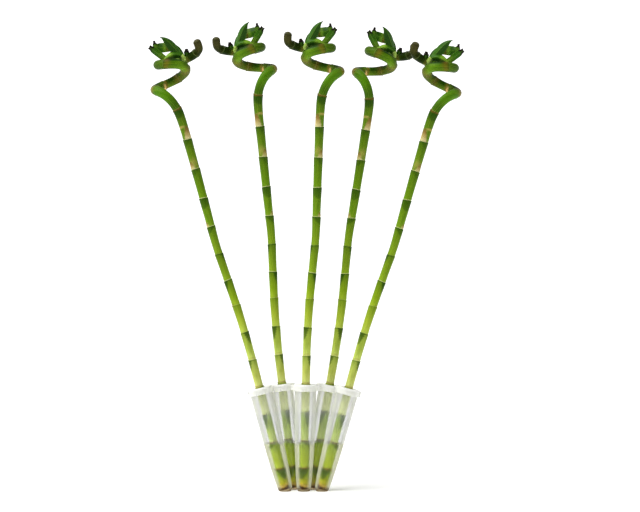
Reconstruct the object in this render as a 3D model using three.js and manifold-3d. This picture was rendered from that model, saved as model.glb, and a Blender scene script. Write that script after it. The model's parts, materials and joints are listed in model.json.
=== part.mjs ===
// Five spiral stems of lucky bamboo, fanned out in a five-tube water vase.
// Millimetres, +Z up, +X right, +Y away from the front. The origin is the middle of the
// middle tube's flat foot. Every stem is one form, used as it is or mirrored, and leant.

import * as THREE from 'three';
import { mergeVertices } from 'three/addons/utils/BufferGeometryUtils.js';
import loadManifold from 'manifold-3d';

const manifold = await loadManifold();
manifold.setup();

// Driving dimensions

const gap = 0.3; // between neighbours that touch
const past = 20; // how far a cutting shape runs past what it cuts
const backRow = 16; // the second and fourth tubes stand this far behind the others
const backLean = 0.9; // and lean this far back, in degrees

// foot: where the tube's axis meets the surface. side: 1 as grown, -1 mirrored.
// lean: how far the stem and its tube lean to the right, in degrees, and back: away.
// size: the stem's length and girth against the common form.
const fan = [
  { foot: [-23.2, 0], side: -1, lean: -13.17, back: 0, size: 1.002 },
  { foot: [-12.2, backRow], side: 1, lean: -7.95, back: backLean, size: 1.009 },
  { foot: [0, 0], side: 1, lean: 0, back: 0, size: 1 },
  { foot: [10.0, backRow], side: -1, lean: 11.08, back: backLean, size: 1.006 },
  { foot: [22.4, 0], side: 1, lean: 13.95, back: 0, size: 0.999 },
];

const tube = {
  lean: 1.0, // degrees, against the stem's own frame
  sides: 20,
  wall: 1.0,
  floor: 2.6,
  bevel: 1.0, // inside, round the floor
  mouth: 136,
  // outer radius by height along the axis
  outer: [
    [-2.4, 5.2],
    [-1.0, 7.0],
    [1.0, 8.3],
    [4.0, 9.3],
    [22, 11.1],
    [55, 12.7],
    [136, 14.4],
  ],
  innerStations: [4.4, 22, 55], // heights of the cavity's corners above its floor
};

const web = { low: 12, high: 52, thickness: 3 }; // moulded between neighbouring tubes

const collar = {
  radius: 15.8,
  bottom: 130,
  top: 138.5,
  plate: 2.2, // thickness of the top round the stem
  hole: 7.0,
  edge: 0.7, // rounding of the top edge
  lug: { reach: 17.6, width: 6, low: 131, high: 137.6 },
  link: { width: 7, low: 131, high: 137.6 }, // joins the collars of neighbouring tubes
};

const everything = { width: 300, depth: 200 }; // wider than the vase

const water = { level: 61, sides: 16, holeAtCut: 5.2, holeAbove: 6.3, holeWidens: 26 };

const stem = {
  sides: 8,
  // centreline of one stem in its own frame, from the cut end to the hooked tip
  route: [
    [0.05, 0, 3], [0.8, 0, 45], [1.6, 0, 90], [2.7, 0, 135], [4.0, 0, 185], [6.6, 0, 235],
    [11.5, 0, 288], [15.6, 0, 332], [17.0, 0, 375], [18.4, 0, 418], [19.9, -1, 458],
    [21.1, -4, 488], [23.1, -8.5, 509], [27.4, -12, 522.8], [34.6, -12, 534.2], [42.6, -6, 542],
    [47.2, 5.5, 546], [43.8, 15.5, 549], [34.5, 22, 551.8], [22.5, 23.5, 554.6],
    [11.5, 19.5, 557.6], [3.6, 10.5, 561.6], [3.2, 0.5, 566.2], [9, -6.5, 569.8],
    [18.9, -9.5, 572.5], [29, -6, 575], [35.8, 3.5, 576.6], [33, 13.5, 577.6],
    [23, 19.5, 577.8], [10, 20.5, 577.7], [-3, 17.5, 578.4], [-13.3, 11.5, 580.6],
    [-20, 5, 584.2], [-20.9, -0.5, 589.6], [-19.7, -4, 596.4],
  ],
  // radius by distance along the centreline
  girth: [
    [0, 5.2], [60, 5.4], [120, 5.45], [180, 5.4], [290, 5.4], [357, 5.55], [425, 5.75],
    [500, 6.05], [560, 6.4], [640, 6.5], [700, 6.3], [760, 5.4],
  ],
  // distance of each node above the cut end
  nodes: [
    28, 63, 100, 137, 173, 210, 247, 281, 317, 354, 392, 431, 471, 513,
    553, 584, 607, 629, 662, 696, 725, 742,
  ],
  rim: 0.06, // a joint ends this much wider than its mean, and the next one starts as much narrower
  lip: 0.7, // half the height of the step at a node
  lastJoint: 30, // the joint above the last node would have grown this long
  spiralFrom: 500,
  spiralStep: 8,
  samples: 1400,
};

// root: the share of its full width that a blade has where it starts.
const leaf = { thickness: 0.8, stations: 6, root: 0.35 };

// Each blade follows a cubic from its root to its tip. face is the way its keel points,
// fold is how far its halves bend back from that, in degrees, swell is where along the
// blade it is widest, tip is half the width that is left at its end, and taper is how soon
// it narrows towards there.
const blades = [
  {
    path: [[2.2, 13, 578.6], [7.6, 6, 587.4], [15.4, 1, 607.6], [24.8, 0, 610.8]],
    width: 14.6, swell: 0.46, tip: 0.9, taper: 1.1, fold: 26, face: [-0.35, -1, 0.25],
  },
  {
    path: [[2.6, 14, 579.6], [7.5, 14, 611.2], [38, 13.5, 589.2], [34.4, 11, 609.8]],
    width: 14, swell: 0.62, tip: 1.6, taper: 0.85, fold: 14, face: [0, -1, 0.2],
  },
  {
    path: [[4.6, 13, 579.6], [25, 12, 572.3], [30.2, 7, 590.8], [42.4, 5, 602.4]],
    width: 9.4, swell: 0.84, tip: 3, taper: 0.8, fold: 16, face: [0.35, -1, 0.1],
  },
  {
    path: [[-0.4, 11, 578.6], [7.1, 3, 588.8], [17.6, 2, 587.2], [29.6, 4.5, 579.6]],
    width: 13, swell: 0.4, tip: 0.6, taper: 0.8, fold: 34, face: [0, -1, 0.1],
  },
  {
    path: [[-1.4, 12.5, 579.6], [-3.4, 9.5, 581.8], [-4.6, 8.5, 584.8], [-4.6, 8.5, 589.6]],
    width: 8.6, swell: 0.5, tip: 2.5, taper: 0.5, fold: 30, face: [-0.3, -1, 0],
  },
];

// The short shoot that carries the blades, with its radius at each end.
const shoot = {
  path: [[3, 19, 577], [1.5, 12, 577.6], [3.5, 8.5, 583]],
  base: 4.6,
  tip: 2.6,
  sides: 8,
  rings: 5,
};

const finishes = {
  frosted: { color: 0xd6d7d3, roughness: 0.4, metalness: 0 },
  white: { color: 0xe6e6e1, roughness: 0.45, metalness: 0 },
  water: { color: 0xc8d8c4, roughness: 0.05, metalness: 0 },
  cane: { color: 0x7d9a2c, roughness: 0.45, metalness: 0 },
  leaf: { color: 0x3f7a1c, roughness: 0.5, metalness: 0 },
};

// Solids

function solidOf(geometry) {
  const bare = geometry.clone();
  bare.deleteAttribute('normal');
  bare.deleteAttribute('uv');
  const merged = mergeVertices(bare, 1e-4);
  const triVerts = new Uint32Array(merged.index.array);
  const vertProperties = new Float32Array(merged.attributes.position.array);
  return new manifold.Manifold(new manifold.Mesh({ numProp: 3, vertProperties, triVerts }));
}

function geometryOf(solid) {
  const mesh = solid.getMesh();
  const geometry = new THREE.BufferGeometry();
  geometry.setAttribute('position', new THREE.BufferAttribute(new Float32Array(mesh.vertProperties), 3));
  geometry.setIndex(new THREE.BufferAttribute(new Uint32Array(mesh.triVerts), 1));
  geometry.computeVertexNormals();
  return geometry;
}

function meshOf(name, geometry, finish) {
  const mesh = new THREE.Mesh(geometry, new THREE.MeshStandardMaterial(finish));
  mesh.name = name;
  return mesh;
}

function join(solids) {
  return solids.reduce((whole, next) => whole.add(next));
}

function steps(table, at) {
  const after = table.findIndex(([place]) => place >= at);
  if (after < 0) return table[table.length - 1][1];
  if (after === 0) return table[0][1];
  const [x0, y0] = table[after - 1];
  const [x1, y1] = table[after];
  return y0 + ((y1 - y0) * (at - x0)) / (x1 - x0);
}

// Closed surface through rows of points, each row a closed ring, with flat ends.
function ringSurface(rings) {
  const sides = rings[0].length;
  const points = rings.flat();
  const faces = [];
  for (let row = 0; row + 1 < rings.length; row += 1) {
    for (let side = 0; side < sides; side += 1) {
      const next = (side + 1) % sides;
      const a = row * sides + side;
      const b = row * sides + next;
      faces.push(a, b, b + sides, a, b + sides, a + sides);
    }
  }
  const last = (rings.length - 1) * sides;
  for (let side = 1; side + 1 < sides; side += 1) {
    faces.push(0, side + 1, side);
    faces.push(last, last + side, last + side + 1);
  }
  const geometry = new THREE.BufferGeometry().setFromPoints(points);
  geometry.setIndex(faces);
  return geometry;
}

// The stem

// A ring of points round the centreline at each station. The ring's own axes are carried
// along the line without twisting.
function sweep(line, stations, radiusAt, sides) {
  let across = new THREE.Vector3(1, 0, 0);
  return stations.map((station) => {
    const share = station / line.length;
    const centre = line.curve.getPointAt(share);
    const along = line.curve.getTangentAt(share);
    across = across.clone().addScaledVector(along, -across.dot(along)).normalize();
    const up = new THREE.Vector3().crossVectors(along, across);
    const radius = radiusAt(station);
    return Array.from({ length: sides }, (_, side) => {
      const angle = (2 * Math.PI * side) / sides;
      const point = centre.clone().addScaledVector(across, radius * Math.cos(angle));
      return point.addScaledVector(up, radius * Math.sin(angle));
    });
  });
}

function placed([x, y, z], side) {
  return new THREE.Vector3(side * x, y, z);
}

function stemLine(side) {
  const points = stem.route.map((point) => placed(point, side));
  const curve = new THREE.CatmullRomCurve3(points, false, 'catmullrom', 0.5);
  curve.arcLengthDivisions = stem.samples;
  return { curve, length: curve.getLength() };
}

// A joint widens from the node below it to the node above.
function stemRadius(station) {
  const above = stem.nodes.findIndex((node) => node > station);
  const below = above < 0 ? stem.nodes[stem.nodes.length - 1] : (stem.nodes[above - 1] ?? 0);
  const top = above < 0 ? below + stem.lastJoint : stem.nodes[above];
  const share = Math.min(1, (station - below) / (top - below));
  return steps(stem.girth, station) * (1 - stem.rim + 2 * stem.rim * share);
}

// Two rings at each node, and even steps round the spiral.
function stemStations(length) {
  const stations = [0];
  stem.nodes.forEach((node, index) => {
    const below = stem.nodes[index - 1] ?? 0;
    const span = node - below;
    const cuts = node < stem.spiralFrom ? 1 : Math.max(2, Math.round(span / stem.spiralStep));
    for (let cut = 1; cut < cuts; cut += 1) stations.push(below + (span * cut) / cuts);
    stations.push(node - stem.lip, node + stem.lip);
  });
  const lastNode = stem.nodes[stem.nodes.length - 1];
  const rest = length - lastNode;
  const cuts = Math.max(1, Math.round(rest / stem.spiralStep));
  for (let cut = 1; cut < cuts; cut += 1) stations.push(lastNode + (rest * cut) / cuts);
  return [...stations, length];
}

function stemGeometry(side, extra = 0, from = 0) {
  const line = stemLine(side);
  const stations = stemStations(line.length).filter((station) => station >= from);
  return ringSurface(sweep(line, stations, (station) => stemRadius(station) + extra, stem.sides));
}

// The leaves

// Share of the full width along a blade: it rises to where the blade swells, then falls to nothing.
function bladeShare(t, { swell, taper }) {
  if (t < swell) return leaf.root + (1 - leaf.root) * Math.sin((0.5 * Math.PI * t) / swell);
  return Math.max(0, Math.cos((0.5 * Math.PI * (t - swell)) / (1 - swell))) ** taper;
}

// A blade is a thin keeled strip: each cross-section is edge, keel, edge on the face and
// the same three points one thickness behind.
function bladeGeometry(blade, side) {
  const curve = new THREE.CubicBezierCurve3(...blade.path.map((point) => placed(point, side)));
  const facing = placed(blade.face, side);
  const bend = THREE.MathUtils.degToRad(blade.fold);
  const rings = [];
  for (let row = 0; row <= leaf.stations; row += 1) {
    const t = row / leaf.stations;
    const along = curve.getTangent(t);
    const front = facing.clone().addScaledVector(along, -facing.dot(along)).normalize();
    const across = new THREE.Vector3().crossVectors(front, along);
    const half = Math.max(blade.tip, (blade.width / 2) * bladeShare(t, blade));
    const edge = (way, depth) =>
      curve
        .getPoint(t)
        .addScaledVector(across, way * half * Math.cos(bend))
        .addScaledVector(front, depth - Math.abs(way) * half * Math.sin(bend));
    const ring = [-1, 0, 1].map((way) => edge(way, 0));
    rings.push([...ring, ...[1, 0, -1].map((way) => edge(way, -leaf.thickness))]);
  }
  return ringSurface(rings);
}

function shootGeometry(side) {
  const curve = new THREE.QuadraticBezierCurve3(...shoot.path.map((point) => placed(point, side)));
  const line = { curve, length: curve.getLength() };
  const stations = Array.from({ length: shoot.rings }, (_, row) => (line.length * row) / (shoot.rings - 1));
  const radiusAt = (station) => shoot.base + ((shoot.tip - shoot.base) * station) / line.length;
  return ringSurface(sweep(line, stations, radiusAt, shoot.sides));
}

function outward(geometry) {
  const solid = solidOf(geometry);
  if (solid.volume() > 0) return solid;
  const flipped = geometry.clone();
  const index = geometry.index.array.slice();
  for (let face = 0; face < index.length; face += 3) {
    [index[face + 1], index[face + 2]] = [index[face + 2], index[face + 1]];
  }
  flipped.setIndex(new THREE.BufferAttribute(index, 1));
  return solidOf(flipped);
}

// Blades and the short shoot that carries them, cut clear of the stem.
function leavesGeometry(side) {
  const leafy = blades.map((blade) => outward(bladeGeometry(blade, side)));
  const parts = [outward(shootGeometry(side)), ...leafy];
  const clear = outward(stemGeometry(side, gap, stem.spiralFrom));
  return geometryOf(join(parts).subtract(clear));
}

// The vase, its collar and the water

// Stands a geometry made round the +Z axis where a tube stands.
function standing(geometry, place) {
  geometry.rotateY(THREE.MathUtils.degToRad(place.lean + place.side * tube.lean));
  geometry.rotateX(-THREE.MathUtils.degToRad(place.back));
  return geometry.translate(place.foot[0], place.foot[1], 0);
}

// A turned solid on a tube's axis.
function turned(profile, sides, place) {
  const points = profile.map(([height, radius]) => new THREE.Vector2(radius, height));
  const geometry = new THREE.LatheGeometry(points, sides);
  return outward(standing(geometry.rotateX(Math.PI / 2), place));
}

function plug(rows) {
  return [[rows[0][0], 0], ...rows, [rows[rows.length - 1][0], 0]];
}

function tubeOuter(place) {
  return turned(plug(tube.outer), tube.sides, place);
}

// The inside of a tube up to a height, with a bevelled corner at its floor.
function cavityRows(inset, to) {
  const bottom = tube.floor + inset;
  const rows = tube.innerStations.filter((height) => height < to);
  const radiusAt = (height) => steps(tube.outer, height) - tube.wall - inset;
  const corner = [bottom, radiusAt(tube.floor) - tube.bevel];
  return [corner, ...rows.map((height) => [height, radiusAt(height)]), [to, radiusAt(to)]];
}

function axisPoint(place, height) {
  const marker = new THREE.BufferGeometry().setFromPoints([new THREE.Vector3(0, 0, height)]);
  return new THREE.Vector3().fromBufferAttribute(standing(marker, place).attributes.position, 0);
}

// An upright rib from one tube's axis to the next one's, following both as they part.
function rib(left, right, low, high, thickness) {
  const bottom = [axisPoint(left, low), axisPoint(right, low)];
  const corners = [...bottom, axisPoint(right, high), axisPoint(left, high)];
  const across = new THREE.Vector3().subVectors(corners[1], corners[0]);
  const out = new THREE.Vector3(-across.y, across.x, 0).setLength(thickness / 2);
  const front = corners.map((corner) => corner.clone().sub(out));
  const back = corners.map((corner) => corner.clone().add(out));
  return outward(ringSurface([front, back]));
}

function neighbours() {
  return fan.slice(1).map((right, index) => [fan[index], right]);
}

// A block as wide as the whole vase, from one height to another.
function block(low, high) {
  const { width, depth } = everything;
  return solidOf(new THREE.BoxGeometry(width, depth, high - low).translate(0, 0, (low + high) / 2));
}

function vaseGeometry() {
  const tubes = fan.map(tubeOuter);
  const webs = neighbours().map(([left, right]) => rib(left, right, web.low, web.high, web.thickness));
  const cavities = fan.map((place) => turned(plug(cavityRows(0, tube.mouth + past)), tube.sides, place));
  return geometryOf(join([...tubes, ...webs]).subtract(join(cavities)).subtract(block(-past, 0)));
}

// One white band: five caps that sit over the tube mouths, linked to each other, each with
// a hole that holds its stem.
function collarGeometry() {
  const { radius, bottom, top, edge, plate, hole, lug, link } = collar;
  const disc = [[bottom, radius], [top - edge, radius], [top, radius - edge]];
  const caps = fan.map((place) => turned(plug(disc), tube.sides, place));
  const lugs = fan.map((place) => {
    const box = new THREE.BoxGeometry(lug.reach, lug.width, lug.high - lug.low);
    box.translate((place.side * lug.reach) / 2, 0, (lug.low + lug.high) / 2);
    return solidOf(standing(box, place));
  });
  const links = neighbours().map(([left, right]) => rib(left, right, link.low, link.high, link.width));
  const skirt = steps(tube.outer, tube.mouth) + gap;
  const seatRows = [[bottom - past, skirt], [top - plate, skirt]];
  const seats = fan.map((place) => turned(plug(seatRows), tube.sides, place));
  const holeRows = [[bottom, hole], [top + past, hole]];
  const holes = fan.map((place) => turned(plug(holeRows), tube.sides, place));
  return geometryOf(join([...caps, ...lugs, ...links]).subtract(join([...seats, ...holes])));
}

// Level water in each tube, with a plain hole where the stem stands.
function waterGeometry(place) {
  const { level, sides, holeAtCut, holeAbove, holeWidens } = water;
  const body = turned(plug(cavityRows(gap, level + past)), sides, place);
  const holeRows = [[0, holeAtCut], [holeWidens, holeAbove], [level + 2 * past, holeAbove]];
  const hole = turned(plug(holeRows), sides, place);
  return geometryOf(body.subtract(hole).subtract(block(level, level + 3 * past)));
}

// The whole

const plant = new THREE.Group();
plant.add(meshOf('vase', vaseGeometry(), finishes.frosted));
plant.add(meshOf('collar', collarGeometry(), finishes.white));

const forms = new Map(
  [1, -1].map((side) => [
    side,
    { stem: geometryOf(outward(stemGeometry(side))), leaves: leavesGeometry(side) },
  ]),
);

fan.forEach((place, index) => {
  const number = index + 1;
  plant.add(meshOf(`water_${number}`, waterGeometry(place), finishes.water));
  const form = forms.get(place.side);
  const grown = new THREE.Group();
  grown.position.set(place.foot[0], place.foot[1], 0);
  grown.rotation.set(-THREE.MathUtils.degToRad(place.back), THREE.MathUtils.degToRad(place.lean), 0);
  grown.scale.setScalar(place.size);
  grown.add(meshOf(`stem_${number}`, form.stem, finishes.cane));
  grown.add(meshOf(`leaves_${number}`, form.leaves, finishes.leaf));
  plant.add(grown);
});

export default plant;
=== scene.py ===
import json
import math

import bpy
import numpy as np
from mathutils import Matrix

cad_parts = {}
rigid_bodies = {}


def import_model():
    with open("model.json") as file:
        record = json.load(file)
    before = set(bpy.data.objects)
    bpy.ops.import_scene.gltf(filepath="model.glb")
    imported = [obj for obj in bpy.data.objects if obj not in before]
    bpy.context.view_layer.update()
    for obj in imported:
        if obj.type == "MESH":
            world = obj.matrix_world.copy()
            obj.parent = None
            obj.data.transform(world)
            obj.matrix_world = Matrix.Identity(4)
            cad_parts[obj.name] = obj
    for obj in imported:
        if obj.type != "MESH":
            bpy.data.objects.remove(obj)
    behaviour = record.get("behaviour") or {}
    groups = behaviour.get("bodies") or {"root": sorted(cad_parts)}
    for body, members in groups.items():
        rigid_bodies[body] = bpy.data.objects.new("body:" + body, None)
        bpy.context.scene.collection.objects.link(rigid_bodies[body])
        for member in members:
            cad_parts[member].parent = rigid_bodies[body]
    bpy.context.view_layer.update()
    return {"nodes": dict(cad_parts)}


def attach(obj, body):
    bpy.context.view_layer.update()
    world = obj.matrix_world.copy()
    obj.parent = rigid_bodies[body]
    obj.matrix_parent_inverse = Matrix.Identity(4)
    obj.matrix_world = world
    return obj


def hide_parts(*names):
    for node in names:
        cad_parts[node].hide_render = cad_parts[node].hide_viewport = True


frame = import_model()
print("frame: loaded", len(frame["nodes"]), "CAD nodes")

mm = 0.001

# Where each stem stands with its tube, as in the CAD. side is -1 where it is mirrored, lean is to
# the right and back away, both in degrees.
fan = [
    {"foot": (-23.2, 0), "side": -1, "lean": -13.17, "back": 0, "size": 1.002},
    {"foot": (-12.2, 16.0), "side": 1, "lean": -7.95, "back": 0.9, "size": 1.009},
    {"foot": (0, 0), "side": 1, "lean": 0, "back": 0, "size": 1},
    {"foot": (10.0, 16.0), "side": -1, "lean": 11.08, "back": 0.9, "size": 1.006},
    {"foot": (22.4, 0), "side": 1, "lean": 13.95, "back": 0, "size": 0.999},
]
tubeLean = 1.0  # a tube leans this much more than its stem, to the stem's own right


# Numbers and arrays

def unit(vectors):
    return vectors / np.linalg.norm(vectors, axis=-1, keepdims=True)


# 0 below low, 1 above high, and 3t² - 2t³ between.
def eased(low, high, values):
    t = np.clip((values - low) / (high - low), 0, 1)
    return t * t * (3 - 2 * t)


# exp(-(x / width)²): 1 at 0 and nearly nothing past two widths.
def bell(values, width):
    return np.exp(-((values / width) ** 2))


# Straight lines between the rows of a table of (place, value).
def between(rows, places):
    return np.interp(places, *np.array(rows, float).T)


# Arrays of one shape as the x, y and z of points.
def stacked(*layers):
    return np.stack(np.broadcast_arrays(*layers), axis=-1)


def polar(radius, theta, height):
    return stacked(radius * np.cos(theta), radius * np.sin(theta), height)


# Flat points put at a height, or each at its own.
def atHeight(flat, height):
    return np.column_stack([flat, np.broadcast_to(height, len(flat))])


def anglesRound(count):
    return np.arange(count) * 2 * math.pi / count


# Smallest angle between two directions, always positive.
def angleApart(first, second):
    return np.abs((first - second + math.pi) % (2 * math.pi) - math.pi)


# The part of a direction that is square to each tangent, made a unit.
def squareTo(along, direction):
    direction = np.array(direction, float)
    return unit(direction - (along @ direction)[:, None] * along)


# Unit arms round a line: cos(angle) across + sin(angle) up, where across is the part of toward
# that is square to the line, and up = along x across.
def armsRound(along, toward, theta):
    across = squareTo(along, toward)
    up = np.cross(along, across)
    return np.cos(theta)[..., None] * across[:, None] + np.sin(theta)[..., None] * up[:, None]


# How far along the line of points each one lies.
def travelTo(points):
    return np.concatenate([[0], np.cumsum(np.linalg.norm(np.diff(points, axis=0), axis=1))])


# Uniform Catmull-Rom, its end neighbours mirrored. From b to c, with a before and d after, it is
# b + t/2 (c - a + t (2a - 5b + 4c - d + t (3b - 3c + d - a))). Gives points and directions.
def splineAt(points, place):
    points = np.asarray(points, float)
    ends = np.vstack([2 * points[0] - points[1], points, 2 * points[-1] - points[-2]])
    span = np.clip(place.astype(int), 0, len(points) - 2)
    t = (place - span)[:, None]
    a, b, c, d = (ends[span + step] for step in range(4))
    second = 2 * a - 5 * b + 4 * c - d
    third = 3 * (b - c) + d - a
    spot = b + 0.5 * t * (c - a + t * (second + t * third))
    return spot, unit(c - a + t * (2 * second + 3 * t * third))


# Bezier curve by repeated mixing of neighbours in the ratio t. Gives points and directions.
def bezierAt(path, t):
    t = t[:, None]
    level = [np.broadcast_to(np.asarray(point, float), (len(t), 3)) for point in path]
    while len(level) > 2:
        level = [p * (1 - t) + q * t for p, q in zip(level, level[1:])]
    return level[0] * (1 - t) + level[1] * t, unit(level[1] - level[0])


# Turns by the lean about Y, then back about X, and moves to the foot.
def standing(points, place, extra=0.0, size=1.0):
    lean = math.radians(place["lean"] + extra)
    back = math.radians(place["back"])
    x, y, z = np.moveaxis(np.asarray(points, float) * size, -1, 0)
    x, z = x * math.cos(lean) + z * math.sin(lean), z * math.cos(lean) - x * math.sin(lean)
    y, z = y * math.cos(back) + z * math.sin(back), z * math.cos(back) - y * math.sin(back)
    return np.stack([x + place["foot"][0], y + place["foot"][1], z], axis=-1)


def standingTube(points, place):
    return standing(points, place, place["side"] * tubeLean)


def standingStem(points, place):
    mirrored = np.asarray(points) * (place["side"], 1, 1)
    return standing(mirrored, place, 0.0, place["size"])


# Shells: closed surfaces, held as arrays

# Four-sided faces between rings, from the numbers of their first points.
def quadsBetween(low, high, cols):
    here = np.arange(cols)
    after = (here + 1) % cols
    corners = [low + here, low + after, high + after, high + here]
    return np.stack(corners, axis=-1).reshape(-1, 4)


# A shell from rings of points, shape (rows, cols, 3), closed by a point in the middle of the
# first and of the last. Its faces point out where the rings run anticlockwise, seen from the last.
# A mark is one number, a column for the rows or an array for all points.
def ringShell(rings, marks=None, mirrored=False):
    rows, cols = rings.shape[:2]
    low = (np.arange(rows - 1) * cols)[:, None]
    quads = quadsBetween(low, low + cols, cols)
    startFan = np.column_stack([np.full(cols, rows * cols), quads[:cols, [1, 0]]])
    endFan = np.column_stack([np.full(cols, rows * cols + 1), quads[-cols:, [3, 2]]])
    order = slice(None, None, -1 if mirrored else 1)

    def closed(values):
        values = np.asarray(values, float)
        if values.ndim < 3:
            values = np.broadcast_to(values, (rows, cols))
        flat = values.reshape(rows * cols, -1)
        return np.vstack([flat, flat[:cols].mean(0), flat[-cols:].mean(0)])

    return {
        "points": closed(rings),
        "quads": quads[:, order],
        "fans": np.vstack([startFan, endFan])[:, order],
        "marks": {name: closed(values) for name, values in (marks or {}).items()},
    }


# A shell from rings that close on themselves both ways, as a tyre does.
def tyreShell(rings):
    rows, cols = rings.shape[:2]
    low = (np.arange(rows) * cols)[:, None]
    return {
        "points": rings.reshape(-1, 3),
        "quads": quadsBetween(low, np.roll(low, -1, axis=0), cols),
        "fans": np.zeros((0, 3), int),
        "marks": {},
    }


def blockRings(corners, low, high):
    return np.stack([atHeight(corners, height) for height in (low, high)])


# Several shells as one, with the numbers of the later points moved up.
def joined(shells):
    starts = np.cumsum([0] + [len(shell["points"]) for shell in shells])
    whole = {"points": np.vstack([shell["points"] for shell in shells])}
    for kind in ("quads", "fans"):
        whole[kind] = np.vstack([shell[kind] + start for shell, start in zip(shells, starts)])
    names = shells[0]["marks"]
    whole["marks"] = {name: np.vstack([shell["marks"][name] for shell in shells]) for name in names}
    return whole


def newObject(name, data):
    made = bpy.data.objects.new(name, data)
    bpy.context.scene.collection.objects.link(made)
    return made


# A shell as an object in metres, with its marks as attributes of the points.
def pieceOf(name, shell, material=None):
    mesh = bpy.data.meshes.new(name)
    faces = shell["quads"].tolist() + shell["fans"].tolist()
    mesh.from_pydata((shell["points"] * mm).tolist(), [], faces)
    for label, values in shell["marks"].items():
        kind, field = ("FLOAT_VECTOR", "vector") if values.shape[1] == 3 else ("FLOAT", "value")
        mesh.attributes.new(label, kind, "POINT").data.foreach_set(field, values.ravel())
    mesh.shade_smooth()
    mesh.update()
    if material:
        mesh.materials.append(material)
    return newObject(name, mesh)


# Joins the solids and cuts the holes out of them. Edges of more than crisp degrees stay sharp.
def carved(name, solids, holes, material, crisp=32):
    body = pieceOf(name, solids[0])
    for way, shells in (("UNION", solids[1:]), ("DIFFERENCE", holes)):
        group = bpy.data.collections.new(name + way)
        for number, shell in enumerate(shells):
            group.objects.link(pieceOf(f"{name}{way}{number}", shell))
        step = body.modifiers.new(way, "BOOLEAN")
        step.operation = way
        step.operand_type = "COLLECTION"
        step.collection = group
        step.solver = "MANIFOLD"
    graph = bpy.context.evaluated_depsgraph_get()
    mesh = bpy.data.meshes.new_from_object(body.evaluated_get(graph))
    for group in [step.collection for step in body.modifiers]:
        for part in list(group.objects):
            bpy.data.objects.remove(part)
        bpy.data.collections.remove(group)
    body.modifiers.clear()
    body.data = mesh
    mesh.name = name
    mesh.shade_smooth()
    mesh.set_sharp_from_angle(angle=math.radians(crisp))
    mesh.materials.clear()
    mesh.materials.append(material)
    return body


# A finished piece joins the root body and stands for its CAD node, which is hidden.
def dressed(piece, node):
    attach(piece, "root")
    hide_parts(node)


def dressFan(name, node, material, shellAt):
    for number, place in enumerate(fan, 1):
        piece = pieceOf(f"{name}{number}", shellAt(place), material)
        dressed(piece, f"{node}_{number}")


# Makes the shells of both sides once, and gives what moves one to where a stem stands.
def onStem(shellOf):
    forms = {side: shellOf(side) for side in (1, -1)}

    def shellAt(place):
        form = forms[place["side"]]
        mirrored = form["points"] * (place["side"], 1, 1)  # back to the unmirrored frame
        return {**form, "points": standingStem(mirrored, place)}

    return shellAt


# Material nodes

# The linear values, by the sRGB curve, of a screen colour: three numbers up to 255. A linear
# colour of four numbers or a socket stays as it is.
def tint(colour):
    if not isinstance(colour, tuple) or len(colour) == 4:
        return colour
    share = np.array(colour) / 255
    linear = np.where(share <= 0.04045, share / 12.92, ((share + 0.055) / 1.055) ** 2.4)
    return (*linear.tolist(), 1.0)


# A new node, with its inputs linked to sockets or set to values.
def put(tree, kind, inputs=None, **settings):
    made = tree.nodes.new("ShaderNode" + kind)
    for name, value in settings.items():
        setattr(made, name, value)
    for name, value in (inputs or {}).items():
        if isinstance(value, bpy.types.NodeSocket):
            tree.links.new(value, made.inputs[name])
        else:
            made.inputs[name].default_value = value
    return made


# The first output of a new node.
def output(tree, kind, inputs=None, **settings):
    return put(tree, kind, inputs, **settings).outputs[0]


def newMaterial(name):
    material = bpy.data.materials.new(name)
    material.use_nodes = True
    material.node_tree.nodes.clear()
    return material, material.node_tree


def finished(tree, surface):
    put(tree, "OutputMaterial", {"Surface": surface})


def painted(tree, inputs):
    finished(tree, output(tree, "BsdfPrincipled", inputs))


def mark(tree, name, field="Fac"):
    return put(tree, "Attribute", attribute_name=name).outputs[field]


def objectPlace(tree):
    return put(tree, "TexCoord").outputs["Object"]


def mixed(tree, share, first, second, how="MIX"):
    inputs = {0: share, 6: tint(first), 7: tint(second)}
    return put(tree, "Mix", inputs, data_type="RGBA", blend_type=how).outputs[2]


# Each coat is the share of the skin that it covers, and its colour.
def coated(tree, skin, coats):
    for share, colour in coats:
        skin = mixed(tree, share, skin, colour)
    return skin


def ranged(tree, value, fromLow, fromHigh, toLow, toHigh):
    return output(tree, "MapRange", {0: value, 1: fromLow, 2: fromHigh, 3: toLow, 4: toHigh})


def maths(tree, operation, first, second):
    return output(tree, "Math", {0: first, 1: second}, operation=operation)


def times(tree, first, second):
    return maths(tree, "MULTIPLY", first, second)


def ramp(tree, value, stops):
    made = put(tree, "ValToRGB", {0: value})
    elements = made.color_ramp.elements
    while len(elements) < len(stops):
        elements.new(0.5)
    for element, (place, *colour) in zip(elements, stops):
        element.position = place
        element.color = tint(tuple(colour))
    return made.outputs[0]


# Noise on a vector that is stretched by scale first.
def noiseOn(tree, vector, scale, detail=3.0, roughness=0.55):
    stretched = output(tree, "Mapping", {"Vector": vector, "Scale": scale})
    inputs = {"Vector": stretched, "Scale": 1.0, "Detail": detail, "Roughness": roughness}
    return output(tree, "TexNoise", inputs)


def bumped(tree, height, strength, distance):
    return output(tree, "Bump", {"Strength": strength, "Distance": distance, "Height": height})


def blended(tree, share, first, second):
    return output(tree, "MixShader", {0: share, 1: first, 2: second})


# The camera, the light and the floor

view = {
    "place": (0.0211, -2.0, 0.3055),
    "lens": 86.5, "sensor": 36, "keyStrength": 3.3, "keySpread": 50,
    "keyTurn": (12, -32),  # degrees off the vertical
    # brightness of the tent at its left and right, and its share in front and overhead
    "left": 1.5, "right": 1.25, "front": 0.15, "zenith": 0.32,
    "overhead": (0.2, 0.5),  # the tent dims upwards between these two
    "bounces": 24, "clearBounces": 32, "floorReach": 30, "floorSides": 96,
    "floorLit": 0.12,  # lit from below too
}

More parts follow.
